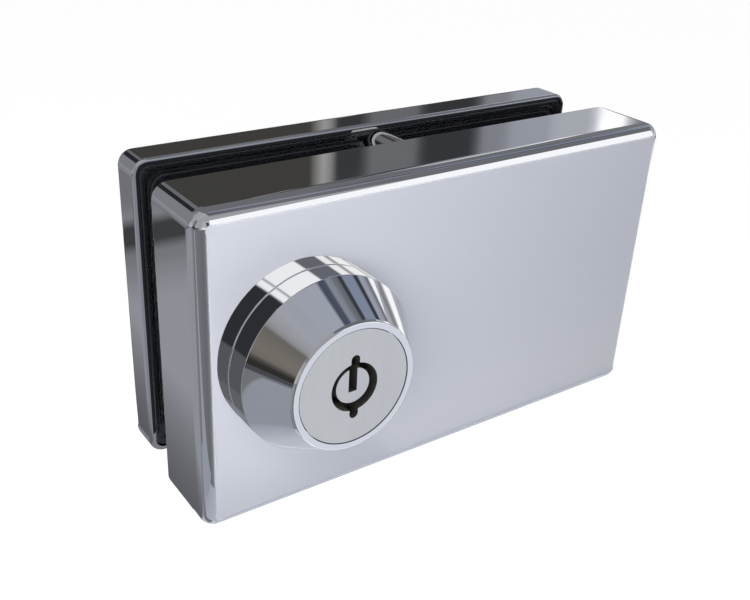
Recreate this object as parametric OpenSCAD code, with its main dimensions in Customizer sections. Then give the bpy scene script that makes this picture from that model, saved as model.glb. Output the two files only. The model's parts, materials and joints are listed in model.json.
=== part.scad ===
// Glass cabinet door lock: a chromed case on the front of the glass, a key cylinder
// in a conical collar, a rack-driven deadbolt inside and a back plate that clamps
// the glass from behind. The key turns half a turn and throws the bolt to the right.
// Frame: X to the right, Y away from the person at the key, Z up, millimetres.
// The origin is under the middle of the lock, at the level of its bottom edge.

/* [Front case] */
// Width of the front case
case_w = 112.8; // [108:0.1:140]
// Height of the front case and of the back plate
case_h = 65; // [62:1:80]
// Depth of the front case
case_d = 16.9; // [16.5:0.1:22]
// Wall of the front case
case_wall = 2.5; // [2:0.1:3]
// Rounding of the front edges of the case
case_round = 3; // [2:0.1:3]
// Rounding of the four corners of both plates, seen from the front
corner_round = 3.2; // [3:0.1:4]
// Easing of the outer edge of the case's rear rim
rim_round = 0.3; // [0.2:0.1:0.8]
// Thickness of the steel plate that closes the case and carries the works
chassis_t = 2; // [1.5:0.1:2.4]
// How far the plate sits inside the rim of the case
chassis_recess = 1.2; // [0.8:0.1:1.4]
// Diameter of the four corner posts inside the case
boss_d = 8; // [7:0.5:9]

/* [Glass gap] */
// Distance from the rim of the case to the lip of the back plate
glass_gap = 11.9; // [8:0.1:16]
// How far the front gasket stands proud of the rim of the case
gasket_proud = 0.5; // [0.2:0.1:1]
// Diameter of the two polished spacer sleeves that cross the gap
sleeve_d = 10; // [9:0.5:11]
// Diameter of the tie studs inside the sleeves
stud_d = 5; // [4.5:0.1:5.5]
// Diameter of the heads of the tie studs
stud_head_d = 8; // [7.5:0.1:9]
// Height of the heads of the tie studs
stud_head_h = 2.5; // [2:0.1:3]

/* [Back plate] */
// How far each end of the back plate stands in from the end of the case
back_inset = 1.5; // [0:0.1:4]
// Depth of the back plate
back_d = 9.4; // [8.5:0.1:14]
// Side wall of the chromed back shell
back_wall = 1.2; // [1:0.1:1.6]
// Floor of the chromed back shell
back_floor = 2; // [1.8:0.1:2.5]
// Rounding of the rear edges of the back shell
back_round = 2.8; // [1.5:0.1:3]
// Rounding of the outer edge of the back shell's lip
lip_round = 0.8; // [0.3:0.1:0.9]
// Width of the rubber bead round the back plate
bead_w = 1.4; // [1.2:0.1:1.7]
// Width of the groove between the bead and the raised pad
groove_w = 0.8; // [0.6:0.1:2.4]
// Depth of that groove
groove_depth = 1.2; // [0.8:0.1:1.6]

/* [Key cylinder] */
// Distance from the left side of the case to the key axis
cyl_from_left = 20.8; // [20.5:0.1:30]
// Height of the key axis above the bottom edge
cyl_z = 35.75; // [32:0.05:40]
// How far the rim of the collar stands out from the front of the case
cyl_proj = 17.5; // [16.5:0.05:20]
// Diameter of the base ring and of the collar at its foot
collar_d = 34.8; // [32:0.1:38]
// Height of the base ring
base_ring_h = 4.4; // [3:0.1:5]
// Height of the straight skirt of the collar
skirt_h = 4.7; // [3:0.1:5.5]
// Diameter of the collar where its cone meets the rounded rim
rim_d = 24.6; // [23.2:0.1:26]
// Height of the rounded rim
rim_h = 1.3; // [0.6:0.1:1.8]
// Diameter of the cylinder's face
face_d = 22; // [20.5:0.1:22.4]
// How far the face lies below the rim
face_recess = 0.15; // [0.05:0.05:0.5]
// Diameter of the barrel of the cylinder
barrel_d = 19; // [18.4:0.1:19.6]
// Distance across the two flats of the barrel
barrel_flats = 16.6; // [15.6:0.1:17.4]
// Outer diameter of the ring-shaped keyway
keyway_d = 9.4; // [9:0.1:9.8]
// Diameter of the post in the middle of the keyway
key_post_d = 6.8; // [6.4:0.1:7.2]
// Thickness of the cylinder's front wall
face_wall = 3; // [2.4:0.1:3.4]
// Diameter of the pin drum
drum_d = 13; // [12.6:0.1:13.4]
// Length of the pin drum
drum_l = 8; // [7:0.1:9]
// Diameter of the lock pins
pin_d = 1.9; // [1.5:0.1:2]
// Length of the driver pins
driver_l = 2.8; // [2.2:0.1:3.2]
// Diameter of the turning shaft
shaft_d = 6; // [5.6:0.1:6.2]
// Height of the nut that holds the cylinder
nut_h = 3; // [2.6:0.1:3.4]
// Distance across the flats of the nut
nut_flats = 24; // [22.4:0.1:25]
// Thickness of the washer under the nut
washer_t = 0.8; // [0.6:0.1:1]

/* [Bolt works] */
// Module of the pinion and the rack
tooth_module = 0.75; // [0.7:0.01:0.8]
// Thickness of the pinion and of the bolt
bolt_t = 4.5; // [4:0.1:4.8]
// Height of the bolt's nose
bolt_h = 18; // [14:0.5:22]
// Height of the rack bar above its pitch line
rack_bar_h = 7; // [6:0.1:8]
// Diameter of the pin that ends the bolt's travel
travel_pin_d = 4; // [3.5:0.1:5]
// Length of each bolt guide along the bolt
guide_l = 8; // [6:0.5:10]

/* [Hidden] */
$fn = 64;

// Clearances: round fits, sliding faces, flat gaps between turning faces
fit_gap = 0.05;
slide_gap = 0.15;
face_gap = 0.1;
// A cut runs this far past the face that it opens
cut = 1;

// Depths are measured from the front face of the case, positive into the lock
total_d = cyl_proj + case_d + glass_gap + back_d;
y_face = cyl_proj - total_d / 2;
cyl_x = cyl_from_left - case_w / 2;

// The steel plate, its gasket and the two plates' faces
chassis_back = case_d - chassis_recess;
chassis_front = chassis_back - chassis_t;
gasket_back = case_d + gasket_proud;
lip = case_d + glass_gap;
back_end = lip + back_d;
back_floor_in = back_end - back_floor;
back_w = case_w - 2 * back_inset;
opening_w = case_w - 2 * case_wall;
opening_h = case_h - 2 * case_wall;
seat_gap = 0.1;

// The corner posts run a little way into the walls beside them
boss_into_wall = 0.5;
boss_from_side = case_wall + boss_d / 2 - boss_into_wall;
boss_x = case_w / 2 - boss_from_side;
boss_z = [boss_from_side, case_h - boss_from_side];

// Tie studs stand in the middle of the width, close to the top and bottom walls
stud_wall_gap = 0.2;
stud_from_edge = case_wall + stud_head_d / 2 + stud_wall_gap;
stud_z = [stud_from_edge, case_h - stud_from_edge];
spigot_d = stud_d + 2;

// Machine screws: diameters of thread and of countersunk head
m3_d = 3;
m3_head_d = 5.6;
m2_d = 2;
m2_head_d = 3.8;
screw_l = 8;
clamp_screw_l = 9;
guide_screw_l = 5;
hex_socket_d = 2;
hex_socket_depth = 1.2;
drive_slot_w = 0.7;
drive_slot_depth = 0.7;

// The key cylinder, front to back
rim_land = 0.2;
rim_steps = 5;
face_u = face_recess - cyl_proj;
head_h = face_wall + 0.4;
head_back = face_u + head_h;
drum_front = face_u + face_wall + face_gap;
shear = drum_front + drum_l;
washer_front = case_wall;
nut_front = washer_front + washer_t;
nut_back = nut_front + nut_h;
barrel_past_nut = 0.5;
barrel_end = nut_back + barrel_past_nut;
sleeve_front = shear + face_gap;
sleeve_l = 7.4;
chamber_floor = 1;
bore_r = drum_d / 2 + fit_gap;
key_post_recess = 0.6;
notch_w = 1.75;
notch_r = 6.3;
key_slot_w = 1.7;
key_slot_below_centre = 1.2;
key_slot_depth = 5;
// Pins lie on the middle of the ring-shaped keyway, in two halves that match
pin_count = 8;
pin_circle_r = (keyway_d + key_post_d) / 4;
pin_first_angle = 180 / pin_count;
// How far the key pushes each pin back
key_cuts = [1.2, 2.4, 0.8, 1.8, 2.6, 1.4, 2.0, 0.6];
spring_wall = 0.3;
spring_d = pin_d - 0.2;
retaining_pin_d = 1.5;
retaining_pin_back = shear + 3.8;
retaining_pin_inner_r = pin_circle_r + pin_d / 2 + 0.2;

// Pinion and rack: 12 teeth and half a turn of the key move the bolt 6 teeth along
teeth = 12;
pressure_angle = 25;
key_turn = 180;
pitch_r = tooth_module * teeth / 2;
tooth_pitch = PI * tooth_module;
addendum = tooth_module;
dedendum = 1.25 * tooth_module;
base_r = pitch_r * cos(pressure_angle);
tip_r = pitch_r + addendum;
root_r = pitch_r - dedendum;
backlash = 0.12;
bolt_throw = pitch_r * key_turn * PI / 180;
pinion_gap = 1.1;
bolt_back = chassis_front - pinion_gap;
bolt_front = bolt_back - bolt_t;
drive_d = 4.4;
drive_flats = 3.6;
drive_end = bolt_back - face_gap;
pinion_screw_d = 2.2;
pinion_screw_head_d = 5.6;
pinion_screw_head_h = 1.5;
pinion_screw_l = 5;
pinion_hole_d = 9;

// The bolt, with its nose at the right end and the rack bar over the pinion at the left
bolt_z = case_h / 2;
bolt_end_inset = 0.3;
bolt_end = case_w / 2 - bolt_end_inset;
bolt_low = bolt_z - bolt_h / 2;
bolt_high = bolt_z + bolt_h / 2;
pitch_z = cyl_z + pitch_r;
rack_top = pitch_z + rack_bar_h;
rack_root = pitch_z + dedendum;
rack_teeth = 8;
rack_left = cyl_x - (rack_teeth - 1) * tooth_pitch - 0.2;
bolt_body_left = cyl_x + tip_r + 1.8;
bolt_web_l = 9;

// Pieces on the steel plate that guide the bolt
travel_pin_x = 0;
travel_head_d = travel_pin_d + 3;
travel_head_h = 0.8;
guide_front = bolt_front - slide_gap - 1.2;
guide_ear = 7;
guide_h = bolt_h + 2 * guide_ear;
guide_screw_from_end = 3.2;
inner_guide_x = 10;
outer_guide_from_end = 9;
outer_guide_x = case_w / 2 - case_wall - outer_guide_from_end - guide_l / 2;
rack_guide_h = 5.5;
rack_guide_left = cyl_x - 8;
rack_guide_l = 20;

// Colours of the pieces
chrome = [0.80, 0.82, 0.85];
satin = [0.74, 0.74, 0.75];
steel = [0.60, 0.61, 0.63];
zinc = [0.68, 0.68, 0.66];
brass = [0.78, 0.64, 0.32];
rubber = [0.06, 0.06, 0.07];
nylon = [0.85, 0.84, 0.78];

// Extrudes an outline drawn in X and Z from depth a to depth b
module slab(a, b) {
    translate([0, y_face + b, 0]) rotate([90, 0, 0]) linear_extrude(b - a) children();
}

// A round bar along the depth, from depth a to depth b, at the point p of X and Z
module rod(a, b, r, p = [0, 0]) {
    translate([p[0], y_face + a, p[1]]) rotate([-90, 0, 0]) cylinder(h = b - a, r = r);
}

// A cone along the depth whose radius goes from ra at depth a to rb at depth b
module taper(a, b, ra, rb, p = [0, 0]) {
    translate([p[0], y_face + a, p[1]]) rotate([-90, 0, 0]) cylinder(h = b - a, r1 = ra, r2 = rb);
}

// Turns an outline of radius and depth about the key axis
module turned() {
    translate([cyl_x, y_face, cyl_z]) rotate([-90, 0, 0]) rotate_extrude() children();
}

// A rectangle whose lower edge stands on the X axis, with round corners
module rounded_rect(w, h, r) {
    translate([r - w / 2, 0]) square([w - 2 * r, h]);
    translate([-w / 2, r]) square([w, h - 2 * r]);
    for (x = [r - w / 2, w / 2 - r], z = [r, h - r]) translate([x, z]) circle(r);
}

// A rectangle of width w and depth d, with corners of radius r at depth 0 and of radius e at depth d
module nose_rect(w, d, r, e) {
    translate([r - w / 2, 0]) square([w - 2 * r, d - e]);
    translate([-w / 2, r]) square([w, d - r - e]);
    translate([e - w / 2, r]) square([w - 2 * e, d - r]);
    for (x = [r - w / 2, w / 2 - r]) translate([x, r]) circle(r);
    for (x = [e - w / 2, w / 2 - e]) translate([x, d - e]) circle(e);
}

// The same for the other two sides: depth d along the first axis, height h along the second
module nose_side(d, h, r, e) {
    translate([0, r]) square([d - e, h - 2 * r]);
    translate([r, 0]) square([d - r - e, h]);
    translate([r, e]) square([d - r, h - 2 * e]);
    for (z = [r, h - r]) translate([r, z]) circle(r);
    for (z = [e, h - e]) translate([d - e, z]) circle(e);
}

// Half the section of a corner post, by radius and depth: edges of radius a at depth 0 and b at depth d
module post_half(d, a, b) {
    intersection() {
        union() {
            translate([0, a]) square([corner_round, d - a - b]);
            square([max(corner_round - a, cut), d - b]);
            translate([0, a]) square([corner_round - b, d - a]);
            translate([corner_round - a, a]) circle(a);
            translate([corner_round - b, d - b]) circle(b);
        }
        square([corner_round, d]);
    }
}

// A block with round corners: a wide and a tall middle between four turned corner posts
module rounded_block(w, h, d, a, b) {
    r = corner_round;
    translate([0, 0, r])
        linear_extrude(h - 2 * r) nose_rect(w, d, a, b);
    translate([r - w / 2, 0, 0]) rotate([90, 0, 90])
        linear_extrude(w - 2 * r) nose_side(d, h, a, b);
    for (x = [r - w / 2, w / 2 - r], z = [r, h - r])
        translate([x, 0, z]) rotate([-90, 0, 0]) rotate_extrude() post_half(d, a, b);
}

// A flat strip of the given height and width, centred on a point of X and Z
module bar_2d(p, w, h) {
    translate([p[0] - w / 2, p[1] - h / 2]) square([w, h]);
}

// The round outline of the barrel with its two flats, grown by g
module barrel_2d(g) {
    intersection() {
        circle(d = barrel_d + 2 * g);
        square([barrel_d + 4, barrel_flats + 2 * g], center = true);
    }
}

// The shaft's driving end: a circle with two flats, grown by g
module drive_2d(g) {
    intersection() {
        circle(d = drive_d + 2 * g);
        square([drive_flats + 2 * g, drive_d + 2], center = true);
    }
}

// Round pieces on the circle of lock pins, each moved out to its place
module on_pin_circle() {
    for (i = [0 : pin_count - 1]) {
        $pin = i;
        turn = pin_first_angle + i * 360 / pin_count;
        translate([cyl_x + pin_circle_r * sin(turn), 0, cyl_z + pin_circle_r * cos(turn)]) children();
    }
}

// A countersunk screw whose flat head lies at depth a and whose point lies towards the front
module countersunk_screw(p, a, l, d, head_d) {
    head_h = (head_d - d) / 2;
    difference() {
        union() {
            rod(a - l, a, d / 2, p);
            taper(a - head_h, a, d / 2, head_d / 2, p);
        }
        slab(a - drive_slot_depth, a + cut) bar_2d(p, head_d + 1, drive_slot_w);
        slab(a - drive_slot_depth, a + cut) bar_2d(p, drive_slot_w, head_d + 1);
    }
}

// The hole for such a screw, through a plate of thickness t
module countersink(p, a, t, d, head_d) {
    head_h = (head_d - d) / 2;
    rod(a - t - cut, a + cut, d / 2 + fit_gap, p);
    taper(a - head_h, a + fit_gap, d / 2 + fit_gap, head_d / 2 + 2 * fit_gap, p);
}

// Involute tooth shapes
function involute_deg(r) = tan(acos(base_r / r)) * 180 / PI - acos(base_r / r);
half_tooth_deg = (tooth_pitch - backlash) / 2 / pitch_r * 180 / PI / 2 + involute_deg(pitch_r);
flank_steps = 5;
function flank(s) = [for (i = [0 : flank_steps])
    let (r = base_r + (tip_r - base_r) * i / flank_steps, a = half_tooth_deg - involute_deg(r))
    [r * sin(s * a), r * cos(a)]];
function reversed(v) = [for (i = [len(v) - 1 : -1 : 0]) v[i]];
function root_corner(s) = [[root_r * sin(s * half_tooth_deg), root_r * cos(half_tooth_deg)]];
function tooth_outline() = concat(root_corner(-1), flank(-1), reversed(flank(1)), root_corner(1));
function turned_by(p, a) = [p[0] * cos(a) + p[1] * sin(a), p[1] * cos(a) - p[0] * sin(a)];
module pinion_2d() {
    polygon([for (i = [0 : teeth - 1], p = tooth_outline()) turned_by(p, i * 360 / teeth)]);
}

// One tooth of the rack, pointing down from the pitch line, with its root sunk in the bar
module rack_tooth_2d() {
    pitch_w = (tooth_pitch - backlash) / 4;
    root_w = pitch_w + dedendum * tan(pressure_angle);
    tip_w = pitch_w - addendum * tan(pressure_angle);
    sunk = dedendum + cut / 2;
    polygon([[-root_w, sunk], [-root_w, dedendum], [-tip_w, -addendum],
             [tip_w, -addendum], [root_w, dedendum], [root_w, sunk]]);
}

module case_shell() {
    color(chrome) difference() {
        union() {
            difference() {
                translate([0, y_face, 0]) rounded_block(case_w, case_h, case_d, case_round, rim_round);
                slab(case_wall, case_d + cut)
                    bar_2d([0, case_h / 2], opening_w, opening_h);
            }
            for (x = [-boss_x, boss_x], z = boss_z)
                rod(case_wall - cut, chassis_front, boss_d / 2, [x, z]);
        }
        for (x = [-boss_x, boss_x], z = boss_z)
            rod(chassis_front - screw_l, chassis_front + cut, m3_d / 2 + fit_gap, [x, z]);
        slab(-cut, case_wall + cut) translate([cyl_x, cyl_z]) barrel_2d(face_gap);
        slab(bolt_front - slide_gap, bolt_back + slide_gap)
            bar_2d([case_w / 2, bolt_z], 4 * case_wall, bolt_h + 2 * slide_gap);
    }
}

module lock_chassis() {
    color(steel) difference() {
        slab(chassis_front, chassis_back)
            bar_2d([0, case_h / 2], opening_w - 2 * seat_gap, opening_h - 2 * seat_gap);
        for (x = [-boss_x, boss_x], z = boss_z)
            countersink([x, z], chassis_back, chassis_t, m3_d, m3_head_d);
        for (p = guide_screw_places())
            countersink(p, chassis_back, chassis_t, m2_d, m2_head_d);
        for (z = stud_z)
            rod(chassis_front - cut, chassis_back + cut, stud_d / 2 + fit_gap, [0, z]);
        rod(chassis_front - cut, chassis_back + cut, pinion_hole_d / 2, [cyl_x, cyl_z]);
        rod(chassis_front - cut, chassis_back + cut, travel_pin_d / 2 + fit_gap, [travel_pin_x, bolt_z]);
    }
}

module chassis_screws() {
    color(steel) for (x = [-boss_x, boss_x], z = boss_z)
        countersunk_screw([x, z], chassis_back, screw_l, m3_d, m3_head_d);
}

module front_gasket() {
    color(rubber) difference() {
        slab(chassis_back, gasket_back)
            bar_2d([0, case_h / 2], opening_w - 2 * seat_gap, opening_h - 2 * seat_gap);
        for (z = stud_z) {
            rod(chassis_back - cut, gasket_back + cut, spigot_d / 2 + fit_gap, [0, z]);
            rod(case_d - fit_gap, gasket_back + cut, sleeve_d / 2 + face_gap, [0, z]);
        }
    }
}

module base_ring() {
    color(chrome) turned() {
        translate([barrel_d / 2 + fit_gap, -base_ring_h])
            square([(collar_d - barrel_d) / 2 - fit_gap, base_ring_h]);
    }
}

module cone_collar() {
    foot = -base_ring_h;
    shoulder = foot - skirt_h;
    rim_foot = rim_h - cyl_proj;
    seat_r = face_d / 2 + fit_gap;
    top_r = seat_r + rim_land;
    bore = barrel_d / 2 + fit_gap;
    color(chrome) turned() polygon(concat(
        [[bore, foot], [collar_d / 2, foot], [collar_d / 2, shoulder]],
        [for (a = [0 : 90 / rim_steps : 90])
            [top_r + (rim_d / 2 - top_r) * cos(a), rim_foot - rim_h * sin(a)]],
        [[seat_r, -cyl_proj], [seat_r, head_back], [bore, head_back]]));
}

module cylinder_body() {
    color(satin) difference() {
        union() {
            rod(face_u, head_back, face_d / 2, [cyl_x, cyl_z]);
            slab(head_back - cut, barrel_end) translate([cyl_x, cyl_z]) barrel_2d(0);
        }
        rod(face_u - cut, drum_front, keyway_d / 2, [cyl_x, cyl_z]);
        rod(face_u + face_wall, barrel_end + cut, bore_r, [cyl_x, cyl_z]);
        for (s = [-1, 1]) {
            rod(face_u - cut, drum_front, notch_w / 2, [cyl_x, cyl_z + s * (notch_r - notch_w / 2)]);
            slab(face_u - cut, drum_front)
                bar_2d([cyl_x, cyl_z + s * notch_r / 2], notch_w, notch_r - notch_w);
        }
        translate([cyl_x, y_face + retaining_pin_back, cyl_z]) rotate([0, 90, 0])
            cylinder(h = barrel_d, d = retaining_pin_d + 2 * fit_gap);
    }
}

module cylinder_sleeve() {
    color(brass) difference() {
        rod(sleeve_front, sleeve_front + sleeve_l, drum_d / 2, [cyl_x, cyl_z]);
        rod(sleeve_front - cut, sleeve_front + sleeve_l + cut, shaft_d / 2 + fit_gap, [cyl_x, cyl_z]);
        on_pin_circle() rod(sleeve_front - cut, sleeve_front + sleeve_l - chamber_floor, pin_d / 2 + fit_gap);
        translate([cyl_x + retaining_pin_inner_r - fit_gap, y_face + retaining_pin_back, cyl_z])
            rotate([0, 90, 0]) cylinder(h = barrel_d, d = retaining_pin_d + 2 * fit_gap);
    }
}

module cylinder_spindle() {
    post_front = face_u + key_post_recess;
    color(satin) difference() {
        union() {
            rod(post_front, drum_front + cut, key_post_d / 2, [cyl_x, cyl_z]);
            rod(drum_front, shear, drum_d / 2, [cyl_x, cyl_z]);
            rod(shear - cut, bolt_front, shaft_d / 2, [cyl_x, cyl_z]);
            slab(bolt_front - cut, drive_end) translate([cyl_x, cyl_z]) drive_2d(0);
        }
        slab(post_front - cut, post_front + key_slot_depth)
            translate([cyl_x - key_slot_w / 2, cyl_z - key_slot_below_centre])
            square([key_slot_w, key_slot_below_centre + key_post_d / 2]);
        on_pin_circle() rod(drum_front - cut, shear + cut, pin_d / 2 + fit_gap);
        rod(drive_end - pinion_screw_l, drive_end + cut, pinion_screw_d / 2 + fit_gap, [cyl_x, cyl_z]);
    }
}

module key_pins() {
    color(brass) on_pin_circle() rod(drum_front + key_cuts[$pin], shear, pin_d / 2);
}

module driver_pins() {
    color(steel) on_pin_circle() rod(sleeve_front, sleeve_front + driver_l, pin_d / 2);
}

module pin_springs() {
    color(steel) on_pin_circle() difference() {
        rod(sleeve_front + driver_l, sleeve_front + sleeve_l - chamber_floor, spring_d / 2);
        rod(sleeve_front + driver_l - cut, sleeve_front + sleeve_l, spring_d / 2 - spring_wall);
    }
}

module retaining_pin() {
    color(steel) translate([cyl_x + retaining_pin_inner_r, y_face + retaining_pin_back, cyl_z])
        rotate([0, 90, 0])
        cylinder(h = barrel_d / 2 - fit_gap - retaining_pin_inner_r, d = retaining_pin_d);
}

module lock_washer() {
    color(steel) difference() {
        rod(washer_front, nut_front, nut_flats / 2, [cyl_x, cyl_z]);
        rod(washer_front - cut, nut_front + cut, barrel_d / 2 + face_gap, [cyl_x, cyl_z]);
    }
}

module cylinder_nut() {
    color(zinc) difference() {
        slab(nut_front, nut_back) translate([cyl_x, cyl_z])
            circle(r = nut_flats / 2 / cos(30), $fn = 6);
        rod(nut_front - cut, nut_back + cut, barrel_d / 2 + fit_gap, [cyl_x, cyl_z]);
    }
}

module pinion() {
    color(brass) slab(bolt_front, bolt_back) translate([cyl_x, cyl_z]) difference() {
        pinion_2d();
        drive_2d(fit_gap);
    }
}

module pinion_screw() {
    color(steel) difference() {
        union() {
            rod(drive_end - pinion_screw_l, bolt_back + cut / 2, pinion_screw_d / 2, [cyl_x, cyl_z]);
            rod(bolt_back, bolt_back + pinion_screw_head_h, pinion_screw_head_d / 2, [cyl_x, cyl_z]);
        }
        slab(bolt_back + pinion_screw_head_h - drive_slot_depth, chassis_back + cut)
            bar_2d([cyl_x, cyl_z], pinion_screw_head_d + 1, drive_slot_w);
    }
}

module bolt() {
    slot_left = travel_pin_x - bolt_throw;
    slot_h = travel_pin_d + 2 * slide_gap;
    color(steel) slab(bolt_front, bolt_back) difference() {
        union() {
            translate([bolt_body_left, bolt_low]) square([bolt_end - bolt_body_left, bolt_h]);
            translate([bolt_body_left, bolt_low]) square([bolt_web_l, rack_top - bolt_low]);
            translate([rack_left, rack_root]) square([bolt_body_left + 1 - rack_left, rack_top - rack_root]);
            for (i = [0 : rack_teeth - 1])
                translate([cyl_x + (0.5 - i) * tooth_pitch, pitch_z]) rack_tooth_2d();
        }
        translate([slot_left, bolt_z]) circle(d = slot_h);
        translate([travel_pin_x, bolt_z]) circle(d = slot_h);
        translate([slot_left, bolt_z - slot_h / 2]) square([bolt_throw, slot_h]);
    }
}

// Where the screws of the guides stand, as points of X and Z
function guide_screw_places() = concat(
    [for (x = [inner_guide_x, outer_guide_x], s = [-1, 1])
        [x, bolt_z + s * (guide_h / 2 - guide_screw_from_end)]],
    [for (x = [rack_guide_left + guide_screw_from_end,
              rack_guide_left + rack_guide_l - guide_screw_from_end])
        [x, rack_top + slide_gap + rack_guide_h / 2]]);

// A block on the steel plate with a tunnel that the bolt slides in
module bolt_guide(x) {
    color(nylon) difference() {
        slab(guide_front, chassis_front) bar_2d([x, bolt_z], guide_l, guide_h);
        slab(bolt_front - slide_gap, bolt_back + slide_gap)
            bar_2d([x, bolt_z], guide_l + 2, bolt_h + 2 * slide_gap);
        for (s = [-1, 1])
            rod(chassis_front - guide_screw_l, chassis_front + cut, m2_d / 2 + fit_gap,
                [x, bolt_z + s * (guide_h / 2 - guide_screw_from_end)]);
    }
}

module inner_bolt_guide() {
    bolt_guide(inner_guide_x);
}

module outer_bolt_guide() {
    bolt_guide(outer_guide_x);
}

module rack_guide() {
    z = rack_top + slide_gap;
    color(nylon) difference() {
        slab(guide_front, chassis_front)
            translate([rack_guide_left, z]) square([rack_guide_l, rack_guide_h]);
        for (x = [rack_guide_left + guide_screw_from_end,
                  rack_guide_left + rack_guide_l - guide_screw_from_end])
            rod(chassis_front - guide_screw_l, chassis_front + cut, m2_d / 2 + fit_gap,
                [x, z + rack_guide_h / 2]);
    }
}

module guide_screws() {
    color(steel) for (p = guide_screw_places())
        countersunk_screw(p, chassis_back, guide_screw_l, m2_d, m2_head_d);
}

module travel_pin() {
    color(steel) union() {
        rod(bolt_front - slide_gap - travel_head_h / 2, chassis_back, travel_pin_d / 2,
            [travel_pin_x, bolt_z]);
        rod(bolt_front - slide_gap - travel_head_h, bolt_front - slide_gap, travel_head_d / 2,
            [travel_pin_x, bolt_z]);
    }
}

module tie_studs() {
    color(steel) for (z = stud_z) difference() {
        union() {
            rod(chassis_front - stud_head_h, chassis_front, stud_head_d / 2, [0, z]);
            rod(chassis_front - cut, back_floor_in - face_gap, stud_d / 2, [0, z]);
        }
        rod(back_end - clamp_screw_l, back_end, m3_d / 2 + fit_gap, [0, z]);
    }
}

module spacer_sleeves() {
    color(chrome) for (z = stud_z) difference() {
        union() {
            rod(chassis_back, back_floor_in, spigot_d / 2, [0, z]);
            rod(case_d, lip, sleeve_d / 2, [0, z]);
        }
        rod(chassis_back - cut, back_floor_in + cut, stud_d / 2 + fit_gap, [0, z]);
    }
}

module back_shell() {
    color(chrome) difference() {
        translate([0, y_face + back_end, 0]) mirror([0, 1, 0])
            rounded_block(back_w, case_h, back_d, back_round, lip_round);
        slab(lip - cut, back_floor_in) back_inside_2d(0);
        for (z = stud_z) countersink([0, z], back_end, back_floor, m3_d, m3_head_d);
    }
}

// Outline of the inside of the back shell, drawn in by g on every side and a little rounder
module back_inside_2d(g) {
    drawn_in = back_wall + g;
    inside_round = corner_round - back_wall + g / 2;
    translate([0, drawn_in])
        rounded_rect(back_w - 2 * drawn_in, case_h - 2 * drawn_in, inside_round);
}

module back_insert() {
    color(rubber) difference() {
        union() {
            slab(lip + groove_depth, back_floor_in) back_inside_2d(seat_gap);
            slab(lip, back_floor_in) back_inside_2d(seat_gap + bead_w + groove_w);
        }
        for (z = stud_z) rod(lip - cut, back_floor_in + cut, spigot_d / 2 + fit_gap, [0, z]);
    }
}

module back_bead() {
    bead_top = bead_w / 4;
    color(rubber) difference() {
        union() {
            slab(lip + bead_top, lip + groove_depth) back_inside_2d(seat_gap);
            slab(lip, lip + groove_depth) back_inside_2d(seat_gap + bead_top);
        }
        slab(lip - cut, lip + groove_depth + cut) back_inside_2d(seat_gap + bead_w);
    }
}

module clamp_screws() {
    color(steel) for (z = stud_z)
        countersunk_screw([0, z], back_end, clamp_screw_l, m3_d, m3_head_d);
}

case_shell();
lock_chassis();
chassis_screws();
front_gasket();
base_ring();
cone_collar();
cylinder_body();
cylinder_sleeve();
cylinder_spindle();
key_pins();
driver_pins();
pin_springs();
retaining_pin();
lock_washer();
cylinder_nut();
pinion();
pinion_screw();
bolt();
inner_bolt_guide();
outer_bolt_guide();
rack_guide();
guide_screws();
travel_pin();
tie_studs();
spacer_sleeves();
back_shell();
back_insert();
back_bead();
clamp_screws();
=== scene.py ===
"""Glass cabinet door lock: its turned, moulded and plated surfaces, the studio and the camera."""

from __future__ import annotations

import json
import logging
import math
from dataclasses import dataclass
from enum import Enum

import bpy
import numpy as np
from mathutils import Matrix

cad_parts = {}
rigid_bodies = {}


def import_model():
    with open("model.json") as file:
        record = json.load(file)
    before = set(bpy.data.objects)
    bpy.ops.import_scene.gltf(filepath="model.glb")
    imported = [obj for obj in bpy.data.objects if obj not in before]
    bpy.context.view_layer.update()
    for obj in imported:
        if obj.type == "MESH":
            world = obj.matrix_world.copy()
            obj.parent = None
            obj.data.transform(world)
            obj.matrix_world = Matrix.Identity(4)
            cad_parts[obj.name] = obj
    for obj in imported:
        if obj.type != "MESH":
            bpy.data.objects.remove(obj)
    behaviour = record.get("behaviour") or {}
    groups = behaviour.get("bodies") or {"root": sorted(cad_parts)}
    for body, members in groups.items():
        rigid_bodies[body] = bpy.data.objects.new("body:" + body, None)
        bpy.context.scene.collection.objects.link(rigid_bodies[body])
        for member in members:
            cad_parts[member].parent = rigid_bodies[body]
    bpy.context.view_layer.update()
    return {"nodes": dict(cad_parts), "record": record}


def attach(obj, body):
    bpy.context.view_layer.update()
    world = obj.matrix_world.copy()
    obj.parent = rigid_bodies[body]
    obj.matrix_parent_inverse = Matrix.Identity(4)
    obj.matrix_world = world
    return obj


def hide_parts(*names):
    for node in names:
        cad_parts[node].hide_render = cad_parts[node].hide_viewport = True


LOG = logging.getLogger("door_lock")
MM = 0.001
# Axis of the key cylinder in X and Z, front plane of the case and place of the camera, in millimetres
COLLAR_AXIS = (-35.6, 35.75)
CASE_FRONT = -10.35
EYE = (-116.452, -143.427, 124.376)
# Distance of the panels that lie on the case from its front, in millimetres
PANEL_GAP = 0.07
# Ray depth between first reflections and later ones
FIRST_REFLECTION = 1.5
# Share of a panel's half that fades at a hard edge, and the place just inside that edge
HARD_EDGE = 0.001
INSIDE = 1 - HARD_EDGE

Array = np.ndarray
Material = bpy.types.Material
Socket = bpy.types.NodeSocket
Pair = tuple[float, float]
Triple = tuple[float, float, float]
Colour = Triple
Bands = tuple[tuple[float, Colour], ...]
Surface = tuple[Array, Array, Array]
Inputs = dict[str | int, object]


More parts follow.
